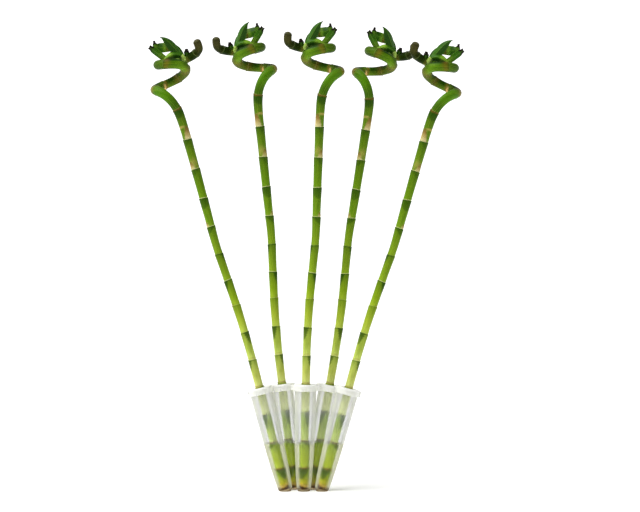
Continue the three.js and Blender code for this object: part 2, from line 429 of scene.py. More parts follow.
cameraData = bpy.data.cameras.new("camera")
cameraData.lens = view["lens"]
cameraData.sensor_width = view["sensor"]
camera = newObject("camera", cameraData)
camera.location = view["place"]
camera.rotation_euler = (math.radians(90), 0, 0)
scene = bpy.context.scene
scene.camera = camera
scene.view_settings.view_transform = "Standard"
scene.cycles.transparent_max_bounces = view["clearBounces"]
scene.cycles.transmission_bounces = view["bounces"]
scene.cycles.max_bounces = view["bounces"]

keyData = bpy.data.lights.new("keyLight", "SUN")
keyData.energy = view["keyStrength"]
keyData.angle = math.radians(view["keySpread"])
keyLight = newObject("keyLight", keyData)
keyLight.rotation_euler = (*np.radians(view["keyTurn"]).tolist(), 0)

# A white photo tent: brightest at the left, dimmer overhead and dim behind the camera.
world = bpy.data.worlds.new("tent")
world.use_nodes = True
scene.world = world
tree = world.node_tree
tree.nodes.clear()
direction = put(tree, "SeparateXYZ", {0: put(tree, "TexCoord").outputs["Generated"]})
across = ranged(tree, direction.outputs[0], -1, 1, view["left"], view["right"])
facing = ranged(tree, direction.outputs[1], -1, 0, view["front"], 1)
overhead = ranged(tree, direction.outputs[2], *view["overhead"], 1, view["zenith"])
brightness = times(tree, across, times(tree, facing, overhead))
tent = output(tree, "Background", {"Color": (1, 1, 1, 1), "Strength": brightness})
put(tree, "OutputWorld", {"Surface": tent})

floorMaterial, tree = newMaterial("paleFloor")
grain = noiseOn(tree, objectPlace(tree), (60, 60, 60))
painted(tree, {
    "Base Color": mixed(tree, grain, (0.93, 0.93, 0.925, 1), (0.95, 0.95, 0.945, 1)),
    "Roughness": 0.9, "Emission Color": (1, 1, 1, 1), "Emission Strength": view["floorLit"],
})
edge = polar(view["floorReach"], anglesRound(view["floorSides"]), 0)
floorMesh = bpy.data.meshes.new("floor")
floorMesh.from_pydata(edge.tolist(), [], [list(range(len(edge)))])
floorMesh.materials.append(floorMaterial)
newObject("floor", floorMesh)
print("stage: camera, light and floor set")


# The stems

# Directions round a stem. 0 is its back.
left, front, right = math.radians(90), math.radians(180), math.radians(270)

cane = {
    # centreline of one stem in its own frame, as in the CAD
    "route": [
        (0.05, 0, 3), (0.8, 0, 45), (1.6, 0, 90), (2.7, 0, 135), (4.0, 0, 185), (6.6, 0, 235),
        (11.5, 0, 288), (15.6, 0, 332), (17.0, 0, 375), (18.4, 0, 418), (19.9, -1, 458),
        (21.1, -4, 488), (23.1, -8.5, 509), (27.4, -12, 522.8), (34.6, -12, 534.2),
        (42.6, -6, 542), (47.2, 5.5, 546), (43.8, 15.5, 549), (34.5, 22, 551.8),
        (22.5, 23.5, 554.6), (11.5, 19.5, 557.6), (3.6, 10.5, 561.6), (3.2, 0.5, 566.2),
        (9, -6.5, 569.8), (18.9, -9.5, 572.5), (29, -6, 575), (35.8, 3.5, 576.6),
        (33, 13.5, 577.6), (23, 19.5, 577.8), (10, 20.5, 577.7), (-3, 17.5, 578.4),
        (-13.3, 11.5, 580.6), (-20, 5, 584.2), (-20.9, -0.5, 589.6), (-19.7, -4, 596.4),
    ],
    "samples": 6000,  # of the centreline, to measure it
    # radius by distance along the centreline
    "girth": [
        (0, 5.2), (60, 5.4), (120, 5.45), (180, 5.4), (290, 5.4), (357, 5.55), (425, 5.75),
        (500, 6.05), (560, 6.4), (596, 6.0), (620, 6.4), (640, 6.5), (700, 6.3), (760, 5.4),
    ],
    # each node's distance above the cut end, and how clear its dark ring and its pale line are
    "nodes": [
        (28, 0.9, 0.3), (63, 0.9, 0.5), (100, 0.4, 0.4), (137, 0.05, 0.2), (173, 0.5, 0.5),
        (210, 0.6, 0.15), (247, 0.15, 0.2), (281, 0.8, 0.9), (317, 0.6, 0.1), (354, 0.8, 0.9),
        (392, 1.0, 1.0), (431, 0.9, 0.8), (471, 1.0, 0.6), (513, 1.0, 0.15), (553, 0.2, 0.2),
        (584, 0.6, 0.3), (607, 0.4, 0.2), (629, 0.2, 0.2), (662, 0.4, 0.1), (696, 0.8, 0.2),
        (725, 0.8, 0.15), (742, 0.6, 0.15),
    ],
    "lastJoint": 30,
    "rim": 0.06,  # a joint ends this much wider than its mean, and starts as much narrower
    "stepIn": (-0.3, 0.35),  # where it steps in, from below a node to above it
    # rise, height above the node and half width of its lip, groove and swelling
    "relief": [(0.16, -0.5, 0.45), (-0.12, 0.45, 0.28), (0.16, 2.2, 1.6)],
    # rise, bulges round the stem, length in which they turn by a radian, and start
    "bulges": [(0.07, 2, 23, 0), (0.05, 3, -31, 1)],
    "tilt": 0.4, "tiltReach": 6,  # how far a node's ring dips on its leaf side
    "sides": 40, "closest": 0.16,
    "spacing": 1.6,  # between rings away from the nodes
    "nearNode": (-3.4, -2.5, -1.8, -1.3, -0.9, -0.6, -0.35, -0.12, 0.1, 0.3, 0.55, 0.9, 1.4, 2.1, 3.0),
    "reference": (0, 1, 1),  # the ring's zero angle looks this way, up and back
    # the cut foot with its worn edge: share of the radius and height of each ring
    "foot": [(0.25, 0.25), (0.5, 0.16), (0.72, 0.06), (0.88, 0), (0.96, 0.12), (0.992, 0.42)],
    "footTop": 0.9,
    "dome": 4.2, "domeRings": 12,  # the rounded tip
    # skin half way up a joint: distance along the stem and colour. The foot and the stretch from 66
    # to 105 in the tube are lighter, painted light against the shade in the tubes, and the coil
    # from 655 to 708 is darker, painted shade.
    "skin": [
        (0, 202, 172, 38), (8, 192, 182, 18), (18, 158, 182, 22), (40, 162, 180, 50),
        (66, 184, 204, 96), (98, 166, 194, 80), (105, 208, 220, 124), (150, 184, 192, 92),
        (181, 174, 192, 80), (225, 158, 177, 50), (258, 123, 152, 20), (295, 115, 144, 24),
        (330, 107, 138, 20), (365, 97, 134, 16), (404, 88, 125, 10), (493, 80, 114, 10),
        (520, 32, 76, 0), (532, 68, 120, 4), (550, 86, 134, 20), (562, 66, 92, 14),
        (586, 84, 118, 16), (606, 58, 78, 8), (622, 72, 88, 18), (638, 92, 134, 18),
        (655, 66, 108, 4), (668, 44, 76, 0), (708, 44, 68, 8), (722, 116, 152, 52),
        (732, 22, 38, 2), (748, 26, 34, 4), (755, 62, 58, 26), (768, 64, 56, 30),
    ],
    "painted": 800,  # the distance at the end of that ramp
    # dark patches below a node: node, direction, reach, half width in radians and strength
    "patches": [
        (28, front - 0.5, 16, 1.45, 1.0), (63, right - 0.2, 9, 2.0, 0.85),
        (100, front + 0.75, 20, 0.95, 1.0), (137, left, 12, 1.0, 0.4),
        (173, right - 0.5, 14, 0.95, 0.95), (210, left + 0.65, 17, 1.15, 1.0),
        (281, right - 0.35, 17, 1.3, 1.0), (317, left + 0.2, 13, 0.9, 0.9),
        (354, right - 0.3, 10, 2.4, 0.7), (392, front + 0.4, 15, 2.6, 0.8),
        (431, right - 0.2, 10, 2.3, 0.6), (471, right, 12, 2.3, 0.6),
        (513, front + 0.5, 13, 2.6, 0.85),
    ],
    # the dark ring below a node, and the stain that fades downwards from it
    "ring": {"strength": 0.85, "below": 0.75, "half": 0.55, "stain": 0.5, "fade": 4},
    "line": {"above": 0.25, "half": 0.42},
    # dry sheath scars above a node, given in the same way
    "scars": [
        (137, front + 0.9, 1.8, 0.8, 0.5), (173, front, 3.2, 1.4, 0.25),
        (354, right - 0.6, 6.5, 0.75, 0.8), (431, right - 0.8, 10.5, 1.0, 0.85),
        (471, left + 0.85, 18.0, 1.15, 1.0),
    ],
    "scarRise": 0.22,
    "scarFrom": 0.3,  # above the node
    # brown and pale bands: distance, half length, direction or None for all round, and strength
    "rusts": [
        (4.6, 1.7, None, 0.75), (27.6, 1.3, None, 0.85), (62.6, 1.2, None, 0.8),
        (100.6, 0.9, None, 0.4), (137.4, 0.9, None, 0.6), (247.2, 1.6, right, 0.6),
        (512.6, 1.2, None, 0.5), (557.5, 5.0, None, 0.75), (585.6, 1.7, None, 0.9),
        (606.0, 5.5, None, 0.3), (628.0, 6.5, None, 0.3), (658.0, 3.0, None, 0.38),
        (696.0, 1.5, None, 0.5), (727.0, 2.0, None, 0.5),
    ],
    "pales": [
        (438.5, 5.5, front, 0.22), (488.0, 1.1, right - 0.9, 0.55), (581.4, 1.8, front, 1.0),
    ],
    # painted shade, with some darker skin, on the coil: the tops that lie under the turns and
    # the leaves above, and the outer flank of the left turn. From, to, the way they face, how
    # squarely, and strength
    "shades": [
        (556, 582, (0.3, 0.0, 1.0), 0.5, 1.0), (584, 624, (0.0, -0.35, 1.0), 0.15, 0.95),
        (612, 646, (-1.0, 0.0, 0.2), 0.5, 0.75), (628, 664, (0.0, 0.0, 1.0), 0.5, 1.4),
    ],
    "shadeFade": 8,
    # stretch of the noises round the stem and along it
    "fibres": (1300, 1300, 26), "clouds": (160, 160, 45), "flecks": (900, 900, 420),
    # what the skin is multiplied by low and high in a joint
    "lowTint": (1.5, 1.4, 2.2, 1),
    "highTint": (0.45, 0.55, 0.4, 1),
    "colours": {
        "cloud": (60, 96, 6), "fibre": (170, 192, 54), "fleck": (52, 66, 16),
        "dark": (20, 62, 0), "darkest": (0, 10, 0), "pale": (232, 190, 116),
        "line": (196, 204, 128), "rust": [(112, 72, 20), (156, 108, 38)],
        "cut": [(58, 34, 26), (92, 58, 34)],
    },
    "scarColours": [
        (0.0, 206, 196, 142), (0.3, 178, 160, 98), (0.65, 134, 108, 52), (1.0, 104, 88, 30),
    ],
    "tipColours": [
        (0.06, 46, 44, 20), (0.2, 74, 76, 38), (0.3, 50, 46, 24), (0.45, 98, 98, 60),
        (0.6, 62, 56, 34), (0.85, 92, 88, 56),
    ],
}


# A patch that narrows from a station to a point at its reach, up or down: inside where the angle
# from its middle is under width (1 - along)^0.6, with two small waves for a ragged edge.
def patch(s, theta, station, toward, reach, width):
    along = (s - station) / reach
    ragged = 0.07 * np.sin(5 * theta + 1.7 * s) + 0.05 * np.sin(11 * theta - 2.3 * s)
    half = width * (1 - np.clip(along, 0, 1)) ** 0.6 + ragged
    inside = eased(-0.22, 0.22, half - angleApart(theta, toward))
    return inside * eased(-0.03, 0.02, along) * (1 - eased(0.9, 1.0, along)), along


# The sum of some bands: bells along the stem whose middle wanders by a quarter of the half
# length three times round. One with a direction fades out from 0.5 to 1.3 radians off it.
def banded(s, theta, bands):
    total = 0.0
    for station, reach, toward, strength in bands:
        around = 1.0 if toward is None else eased(1.3, 0.5, angleApart(theta, toward))
        wander = 0.25 * reach * np.sin(3 * theta + station)
        total = total + strength * bell(s - station - wander, reach) * around
    return total


# A stem: a ring round the centreline at each station. Its radius is the girth, widened up each
# joint as 0.6 grown + 0.4 grown^4 and stepped in at each node, with a lip under the step, a
# groove over it and a low swelling above. The tip is a quarter of an ellipse.
def caneShell(side):
    route = np.array(cane["route"], float)
    nodes, nodeShade, nodeLine = np.array(cane["nodes"], float).T
    dense = np.linspace(0, len(route) - 1, cane["samples"])
    travelled = travelTo(splineAt(route, dense)[0])
    length = travelled[-1]

    start = cane["footTop"]
    close = (nodes[:, None] + np.array(cane["nearNode"])).ravel()
    stations = np.sort(np.concatenate([np.arange(start, length, cane["spacing"]), close]))
    stations = stations[(stations > start) & (stations < length - cane["dome"])]
    stations = stations[np.concatenate([[True], np.diff(stations) > cane["closest"]])]
    footShare, footRise = np.array(cane["foot"]).T
    bow = np.linspace(0, 0.5 * math.pi, cane["domeRings"] + 1)[:-1]
    tipRise = length - cane["dome"] * (1 - np.sin(bow))
    s = np.concatenate([footRise, stations, tipRise])[:, None]
    share = np.concatenate([footShare, np.ones(len(stations)), np.cos(bow)])[:, None]
    theta = anglesRound(cane["sides"])[None, :]
    centre, along = splineAt(route, np.interp(s[:, 0], travelled, dense))
    arms = armsRound(along, cane["reference"], theta)

    # the height above the nearest node's tilted ring, and the share grown of the joint
    nearest = np.abs(s - nodes).argmin(axis=1)[:, None]
    leafSide = np.where(nearest % 2 == 0, right, left)
    offset = s - nodes[nearest]
    height = offset - cane["tilt"] * np.cos(theta - leafSide) * bell(offset, cane["tiltReach"])
    spot = nodes[nearest] + height
    joint = np.searchsorted(nodes, spot)
    lows = np.concatenate([[0], nodes])
    highs = np.concatenate([nodes, [nodes[-1] + cane["lastJoint"]]])
    grown = np.clip((spot - lows[joint]) / (highs[joint] - lows[joint]), 0, 1)

    rim = cane["rim"]
    stepLow, stepHigh = cane["stepIn"]
    widening = 1 - rim + 2 * rim * (0.6 * grown + 0.4 * grown ** 4)
    stepped = 1 + rim - 2 * rim * eased(stepLow, stepHigh, height)
    widening = np.where(np.abs(height) < stepHigh, stepped, widening)
    relief = sum(rise * bell(height - above, half) for rise, above, half in cane["relief"])
    for rise, count, drift, turn in cane["bulges"]:
        relief = relief + rise * np.sin(count * theta + s / drift + turn)

    ring, line = cane["ring"], cane["line"]
    stain = ring["stain"] * np.exp(np.minimum(height, 0) / ring["fade"]) * (height < 0)
    dark = ring["strength"] * bell(height + ring["below"], ring["half"]) + stain
    dark = dark * nodeShade[nearest]
    for station, toward, reach, width, strength in cane["patches"]:
        inside, down = patch(s, theta, station, toward, -reach, width)
        dark = np.maximum(dark, strength * inside * (1 - 0.4 * np.clip(down, 0, 1)))
    # painted shade on the coil's sides, laid into the dark mark
    for low, high, way, least, strength in cane["shades"]:
        inside = eased(least - 0.3, least + 0.3, arms @ unit(np.array(way)))
        fade = cane["shadeFade"]
        inside = inside * eased(low, low + fade, s) * eased(high, high - fade, s)
        dark = np.maximum(dark, strength * inside)
    scar = scarHeight = np.zeros_like(height)
    for station, toward, reach, width, strength in cane["scars"]:
        inside, rise = patch(s, theta, station + cane["scarFrom"], toward, reach, width)
        scar = np.maximum(scar, strength * inside)
        scarHeight = np.where(inside > 0.05, np.clip(rise, 0, 1), scarHeight)
        relief = relief + cane["scarRise"] * inside * (1 - np.clip(rise, 0, 1))

    # the cut's brown runs up highest at the left, with a pale edge above it
    cutHeight = 2.4 + 2.8 * (0.5 + 0.5 * np.cos(theta - left)) ** 2 + 0.3 * np.sin(7 * theta)
    pale = banded(s, theta, cane["pales"]) + 0.7 * bell(s - cutHeight - 1.1, 0.8)

    radius = share * (between(cane["girth"], s) * widening + relief)
    rings = centre[:, None] + radius[..., None] * arms
    marks = {
        "age": s / cane["painted"],
        "grown": grown,
        "dark": np.clip(dark, 0, 2),
        "line": nodeLine[nearest] * bell(height - line["above"], line["half"]),
        "scar": scar,
        "scarHeight": scarHeight,
        "rust": np.clip(banded(s, theta, cane["rusts"]), 0, 1),
        "pale": np.clip(pale, 0, 1),
        "cut": 1 - eased(cutHeight - 0.6, cutHeight + 0.6, s),
        "tip": (1 - share) * (s > 0.5 * length),
        "grain": polar(radius, theta, s) * mm,
    }
    return ringShell(rings * (side, 1, 1), marks, side < 0)


# Living skin, paler low in each joint, with fine fibres along it and the marks painted over,
# painted shade on the coil among them. A dark mark past 1 is darker still: the painted shadow of
# the leaves on the coil's top, and the deepest of the dark rings.
def caneMaterial():
    material, tree = newMaterial("caneSkin")
    colours = cane["colours"]
    grain = mark(tree, "grain", "Vector")
    fibres = noiseOn(tree, grain, cane["fibres"], 4, 0.6)
    clouds = noiseOn(tree, grain, cane["clouds"], 3, 0.5)
    flecks = noiseOn(tree, grain, cane["flecks"], 2, 0.5)
    age, grown, dark, tip = (mark(tree, name) for name in ("age", "grown", "dark", "tip"))
    skin = ramp(tree, age, [(place / cane["painted"], *colour) for place, *colour in cane["skin"]])
    low = mixed(tree, 1.0, skin, cane["lowTint"], "MULTIPLY")
    skin = mixed(tree, ranged(tree, grown, 0.0, 0.4, 0.5, 0.0), skin, low)
    high = mixed(tree, 1.0, skin, cane["highTint"], "MULTIPLY")
    skin = mixed(tree, ranged(tree, grown, 0.45, 1.0, 0.0, 0.6), skin, high)
    plain = ranged(tree, age, 0.86, 0.91, 1.0, 0.2)  # the hook is nearly black
    shaded = times(tree, ranged(tree, dark, 0, 1, 0, 1), ranged(tree, fibres, 0.3, 0.75, 1.0, 0.7))
    broken = times(tree, mark(tree, "rust"), ranged(tree, clouds, 0.3, 0.6, 0.55, 1.0))
    skin = coated(tree, skin, [
        (times(tree, plain, ranged(tree, clouds, 0.3, 0.55, 0.3, 0.0)), colours["cloud"]),
        (times(tree, plain, ranged(tree, fibres, 0.45, 0.75, 0.0, 0.25)), colours["fibre"]),
        (ranged(tree, flecks, 0.66, 0.74, 0.0, 0.35), colours["fleck"]),
        # dark rings and patches, and the coil's painted shade
        (shaded, colours["dark"]),
        (ranged(tree, dark, 1, 2, 0, 1), colours["darkest"]),
        (broken, mixed(tree, fibres, *colours["rust"])),
        (mark(tree, "pale"), colours["pale"]),
        (mark(tree, "line"), colours["line"]),
        (mark(tree, "scar"), ramp(tree, mark(tree, "scarHeight"), cane["scarColours"])),
        (mark(tree, "cut"), mixed(tree, clouds, *colours["cut"])),
        (ranged(tree, tip, 0.0, 0.05, 0.0, 0.9), ramp(tree, tip, cane["tipColours"])),
    ])
    painted(tree, {
        "Base Color": skin, "Roughness": ranged(tree, fibres, 0.3, 0.7, 0.34, 0.46),
        "Normal": bumped(tree, fibres, 0.25, 0.0003), "Specular IOR Level": 0.05,
        "Sheen Weight": 0.02, "Sheen Roughness": 0.4,
    })
    return material


dressFan("cane", "stem", caneMaterial(), onStem(caneShell))
print("canes: made", len(fan))


# The leaves

leaf = {
    "rows": 46, "cols": 60, "thickness": 0.7,
    "root": 0.35,  # share of the full width where a blade starts
    "start": 0.12,  # rows gather at the tip, and less at the root
    "keel": 0.03,  # its roundness
    "vein": 1.15, "veinRise": 0.035,  # spacing and height
    "fibres": (1500, 40, 1), "clouds": (220, 120, 1),
    # colour by tone
    "tones": [(0.2, 16, 56, 0), (0.5, 54, 108, 0), (0.8, 128, 168, 44)],
    "colours": {
        "fibre": (92, 146, 30), "groove": (18, 50, 0), "rust": (112, 66, 22),
        "keel": (118, 160, 56), "edge": (122, 160, 56), "shaded": (10, 40, 0),
        "dry": (26, 20, 12), "sheath": [(136, 176, 58), (196, 220, 116)],
    },
}

# A blade follows a cubic from root to tip, as in the CAD. It is widest at swell and narrows by
# taper to the half width tip. Its halves bend back by fold degrees from a keel that points to
# face, its edges ripple by wave of the half width, waves times, and notch is how deep its end is
# cut. tones is its brightness by place, shade how dark the painted shade is on the half past the
# crease, or on the other half if negative, rust the place of a brown stripe and dry the place
# where the tip dries.
plainBlade = {"wave": 0.05, "notch": 0, "crease": 0.0, "rust": -1}
blades = [
    {
        "path": [(2.2, 13, 578.6), (7.6, 6, 587.4), (15.4, 1, 607.6), (24.8, 0, 610.8)],
        "width": 14.6, "swell": 0.46, "tip": 0.9, "taper": 1.1,
        "fold": 26, "face": (-0.35, -1, 0.25), "waves": 1.6,
        "tones": [(0, 0.5), (0.3, 0.38), (0.6, 0.3), (1, 0.34)], "shade": 0.5, "dry": 0.97,
    },
    {
        "path": [(2.6, 14, 579.6), (7.5, 14, 611.2), (38, 13.5, 589.2), (34.4, 11, 609.8)],
        "width": 14, "swell": 0.62, "tip": 1.6, "taper": 0.85,
        "fold": 14, "face": (0, -1, 0.2), "wave": 0.06, "waves": 2.2,
        "tones": [(0, 0.3), (0.42, 0.6), (0.54, 0.75), (0.63, 0.38), (0.72, 0.4), (0.82, 0.66), (1, 0.4)],
        "shade": -0.45, "rust": 0.45, "dry": 0.9,
    },
    {
        "path": [(4.6, 13, 579.6), (25, 12, 572.3), (30.2, 7, 590.8), (42.4, 5, 602.4)],
        "width": 9.4, "swell": 0.84, "tip": 3.0, "taper": 0.8, "notch": 0.9,
        "fold": 16, "face": (0.35, -1, 0.1), "waves": 2.0,
        "tones": [(0, 0.88), (0.5, 0.8), (0.64, 0.62), (0.76, 0.42), (1, 0.2)],
        "shade": 0.17, "crease": -0.2, "dry": 0.88,
    },
    {
        "path": [(-0.4, 11, 578.6), (7.1, 3, 588.8), (17.6, 2, 587.2), (29.6, 4.5, 579.6)],
        "width": 13, "swell": 0.4, "tip": 0.6, "taper": 0.8,
        "fold": 34, "face": (0, -1, 0.1), "waves": 1.4,
        "tones": [(0, 0.6), (0.15, 0.42), (0.45, 0.38), (0.6, 0.75), (0.72, 1.0), (1, 1.0)],
        "shade": 0.9, "crease": -0.35, "dry": 1.0,
    },
    {
        "path": [(-1.4, 12.5, 579.6), (-3.4, 9.5, 581.8), (-4.6, 8.5, 584.8), (-4.6, 8.5, 589.6)],
        "width": 8.6, "swell": 0.5, "tip": 2.5, "taper": 0.5,
        "fold": 30, "face": (-0.3, -1, 0), "wave": 0.03, "waves": 1.0,
        "tones": [(0, 0.2), (1, 0.2)], "shade": 0.3, "dry": 0.6,
    },
]
shoot = {
    "path": [(3, 19, 577), (1.5, 12, 577.6), (3.5, 8.5, 583)],
    "base": 4.6, "tip": 2.6, "sides": 28, "rows": 26,
    "wraps": 3.2, "slant": 0.12, "ridge": 0.45, "inset": 0.1,
    "tone": 0.7, "shade": 0.75, "length": 12,
}


# Share of the full width: root + (1 - root) sin up to the swell, then cos to the power of taper.
def bladeShare(t, swell, taper):
    rising = leaf["root"] + (1 - leaf["root"]) * np.sin(0.5 * math.pi * np.minimum(t / swell, 1))
    falling = np.cos(0.5 * math.pi * np.clip((t - swell) / (1 - swell), 0, 1)) ** taper
    return np.where(t < swell, rising, falling)


# A thin lens carried along its curve: v = -cos(angle) runs from edge to edge and sin(angle) from
# back to face. It bends back along a rounded keel by (sqrt(v² + k) - sqrt(k)) sin(fold), its
# edges ripple, and veins stand up as fine ridges.
def bladeShell(blade, number, side):
    blade = {**plainBlade, **blade}
    t = 0.5 - 0.5 * np.cos(np.linspace(leaf["start"], 1, leaf["rows"]) * math.pi)
    t = (t - t[0]) / (t[-1] - t[0])
    centre, along = bezierAt(blade["path"], t)
    facing = squareTo(along, blade["face"])
    across = np.cross(facing, along)
    share = bladeShare(t, blade["swell"], blade["taper"])
    half = np.maximum(blade["tip"], blade["width"] / 2 * share)[:, None]
    t = t[:, None]
    turn = anglesRound(leaf["cols"])[None, :]
    v = -np.cos(turn)
    lens = np.sin(turn)
    keel = leaf["keel"]
    bend = (np.sqrt(v * v + keel) - math.sqrt(keel)) / (math.sqrt(1 + keel) - math.sqrt(keel))
    fold = math.radians(blade["fold"])
    ripple = blade["wave"] * np.sin(2 * math.pi * (blade["waves"] * t + 0.25 * v))
    veins = np.cos(2 * math.pi * v * half / leaf["vein"]) * (1 - v ** 4) * np.sign(lens)
    depth = leaf["thickness"] * 0.5 * (lens - 1) + leaf["veinRise"] * veins
    depth = depth - bend * half * math.sin(fold) + ripple * half * v * v
    cutBack = blade["notch"] * (1 - v * v) * eased(0.86, 1.0, t)
    rings = centre[:, None] + (v * half * math.cos(fold))[..., None] * across[:, None]
    rings = rings + depth[..., None] * facing[:, None] - cutBack[..., None] * along[:, None]
    grain = stacked(v * half, travelTo(centre)[:, None], number * 40)
    corner = 0.5 + 0.5 * np.abs(v) if blade["notch"] else 1.0
    shadedHalf = math.copysign(1, blade["shade"])
    marks = {
        "edge": np.abs(v),
        "dry": eased(blade["dry"] - 0.06, blade["dry"] + 0.06, t) * corner,
        "tone": between(blade["tones"], t),
        # painted shade on one half of the blade
        "shadeSide": abs(blade["shade"]) * eased(0.15, -0.15, shadedHalf * (v - blade["crease"])),
        "rust": bell(t - blade["rust"], 0.03),
        "sheath": 0,
        "grain": grain * mm,
    }
    return ringShell(rings * (side, 1, 1), marks, side > 0)


# A tapering tube with the edges of its sheaths as oblique ridges, each the cube of the way
# through its wrap.
def shootShell(side):
    t = np.linspace(0, 1, shoot["rows"])
    centre, along = bezierAt(shoot["path"], t)
    t = t[:, None]
    theta = anglesRound(shoot["sides"])[None, :]
    wraps = (shoot["wraps"] * t + shoot["slant"] * np.cos(theta)) % 1
    radius = shoot["base"] + (shoot["tip"] - shoot["base"]) * t
    radius = radius + shoot["ridge"] * wraps ** 3 - shoot["inset"]
    rings = centre[:, None] + radius[..., None] * armsRound(along, (1, 0, 0), theta)
    marks = {
        "edge": 0, "dry": 0, "tone": shoot["tone"],
        # painted shade on one side of the shoot
        "shadeSide": shoot["shade"] * eased(-0.1, 0.6, np.cos(theta)),
        "rust": 0, "sheath": 1, "grain": polar(radius, theta, shoot["length"] * t) * mm,
    }
    return ringShell(rings * (side, 1, 1), marks, side < 0)


# Waxy leaf green with parallel fibres, a paler keel and edge, tips dried nearly black, and
# painted shade on one half of each blade and one side of the shoot.
def leafMaterial():
    material, tree = newMaterial("leafSkin")
    colours = leaf["colours"]
    grain = mark(tree, "grain", "Vector")
    fibres = noiseOn(tree, grain, leaf["fibres"], 4, 0.6)
    clouds = noiseOn(tree, grain, leaf["clouds"], 3, 0.5)
    fromEdge = mark(tree, "edge")
    dry = maths(tree, "ADD", mark(tree, "dry"), ranged(tree, clouds, 0.2, 0.8, -0.3, 0.3))
    skin = coated(tree, ramp(tree, mark(tree, "tone"), leaf["tones"]), [
        (ranged(tree, fibres, 0.45, 0.7, 0.0, 0.45), colours["fibre"]),
        (ranged(tree, fibres, 0.5, 0.3, 0.0, 0.6), colours["groove"]),
        (times(tree, mark(tree, "rust"), 0.8), colours["rust"]),
        (ranged(tree, fromEdge, 0.14, 0.0, 0.0, 0.45), colours["keel"]),
        (ranged(tree, fromEdge, 0.86, 0.98, 0.0, 0.4), colours["edge"]),
        (mark(tree, "sheath"), mixed(tree, fibres, *colours["sheath"])),
        # the painted shade
        (times(tree, mark(tree, "shadeSide"), 0.9), colours["shaded"]),
        (ranged(tree, dry, 0.35, 0.6, 0.0, 1.0), colours["dry"]),
    ])
    painted(tree, {
        "Base Color": skin, "Roughness": ranged(tree, fibres, 0.3, 0.7, 0.36, 0.5),
        "Normal": bumped(tree, fibres, 0.3, 0.0003), "Specular IOR Level": 0.1,
    })
    return material


def tuftShell(side):
    parts = [bladeShell(blade, number, side) for number, blade in enumerate(blades)]
    return joined([shootShell(side), *parts])


dressFan("leafTuft", "leaves", leafMaterial(), onStem(tuftShell))
print("leaves: made", len(fan), "tufts of", len(blades), "blades")


# The vase

tube = {
    "sides": 64, "wall": 1.0, "floor": 2.6, "bevel": 1.0, "mouth": 136,
    # outer radius by height along the axis
    "outer": [(-2.4, 5.2), (-1.0, 7.0), (1.0, 8.3), (4.0, 9.3), (22, 11.1), (55, 12.7), (136, 14.4)],
}
web = {"low": 12, "high": 52, "thickness": 3}
past = 20  # how far a cutting shape runs past what it cuts
ground = {"x": 300, "y": 200}  # half sizes of the block that cuts flat at the table

frost = {
    # the heights in metres where each kind of wall starts and where it is full
    "wet": (0.063, 0.0605),
    "heavy": (0.092, 0.108),
    "foot": (0.0065, 0.0015),
    "milk": (0.09, 0.21),  # share of the light scattered, plain and heavily frosted
    "wetMilk": 0.03,  # what is left of it where the wall is wet
    # a wall seen edge on is thicker, and hides more
    "slant": (0.1, 0.5),
    "rim": 0.68,
    "soft": 0.75,  # share of the light passed on that the frost bends
    "white": [(224, 224, 222), (230, 230, 227)],
    "wetWhite": (214, 214, 190),
    # painted shade at the foot: dark brown in place of the shade at the bottom and the stem's cut end
    "footWhite": (112, 88, 54),
    # share of each colour that a surface passes on
    "smoke": (0.9, 0.9, 0.907, 1),
    "heavySmoke": (0.91, 0.91, 0.915, 1),
    "wetSmoke": (0.94, 0.94, 0.9, 1),
    # painted shade at the foot, which passes brown light
    "footSmoke": (0.66, 0.56, 0.39, 1),
    "lit": (0.985, 0.985, 0.982, 1),
}


def outerRadius(heights):
    return between(tube["outer"], heights)


# The outside, rounded where the CAD's cones meet: the mean radius at nine heights, up to 12 mm
# above and below and less near the foot.
def softRadius(heights):
    reach = np.clip((heights - 3) * 0.5, 0.3, 12)[:, None] * np.linspace(-1, 1, 9)
    return outerRadius(np.minimum(heights[:, None] + reach, tube["mouth"])).mean(axis=1)


# The same turned solid on each tube's axis, from its heights and radii.
def turnedShells(heights, radii):
    rings = polar(radii[:, None], anglesRound(tube["sides"]), heights[:, None])
    return [ringShell(standingTube(rings, place)) for place in fan]


# An upright rib from each tube's axis to the next one's, following both as they part.
def ribShells(low, high, thickness):
    ribs = []
    for before, after in zip(fan, fan[1:]):
        ends = [(before, low), (after, low), (after, high), (before, high)]
        corners = np.vstack([standingTube([(0, 0, height)], place) for place, height in ends])
        run = corners[1] - corners[0]
        out = unit(np.array([-run[1], run[0], 0])) * thickness / 2
        ribs.append(ringShell(np.stack([corners - out, corners + out]), None, True))
    return ribs


signs = np.array([(-1, -1), (1, -1), (1, 1), (-1, 1)])  # of the corners of a rectangle


# Five tubes and their webs, hollowed down to a floor with a rounded corner, and cut flat at the
# table.
def vasePiece(material):
    bottom, mouth = tube["outer"][0][0], tube["mouth"]
    heights = np.concatenate([np.linspace(bottom, 3, 10), np.linspace(5, mouth, 40)])
    solids = turnedShells(heights, softRadius(heights)) + ribShells(**web)
    inner = np.concatenate([np.linspace(4.4, 22, 8), np.linspace(26, mouth + past, 34)])
    corner = np.linspace(0, 0.5 * math.pi, 6)[:-1]
    wallFoot = softRadius(np.array([3.6]))[0] - tube["wall"]
    floorRise = tube["floor"] + tube["bevel"] * (1 - np.cos(corner))
    floorReach = wallFoot - tube["bevel"] * (1 - np.sin(corner))
    radii = np.concatenate([floorReach, softRadius(inner) - tube["wall"]])
    holes = turnedShells(np.concatenate([floorRise, inner]), radii)
    underTable = ringShell(blockRings(signs * (ground["x"], ground["y"]), -past, 0))
    return carved("tubeVase", solids, [*holes, underTable], material)


# Lets the rays that light what stands in the tubes pass straight on, because they would take
# hundreds of bounces otherwise.
def litThrough(tree, surface, colour):
    clear = output(tree, "BsdfTransparent", {"Color": colour})
    path = put(tree, "LightPath")
    for ray in ("Is Diffuse Ray", "Is Shadow Ray"):
        surface = blended(tree, path.outputs[ray], surface, clear)
    return surface
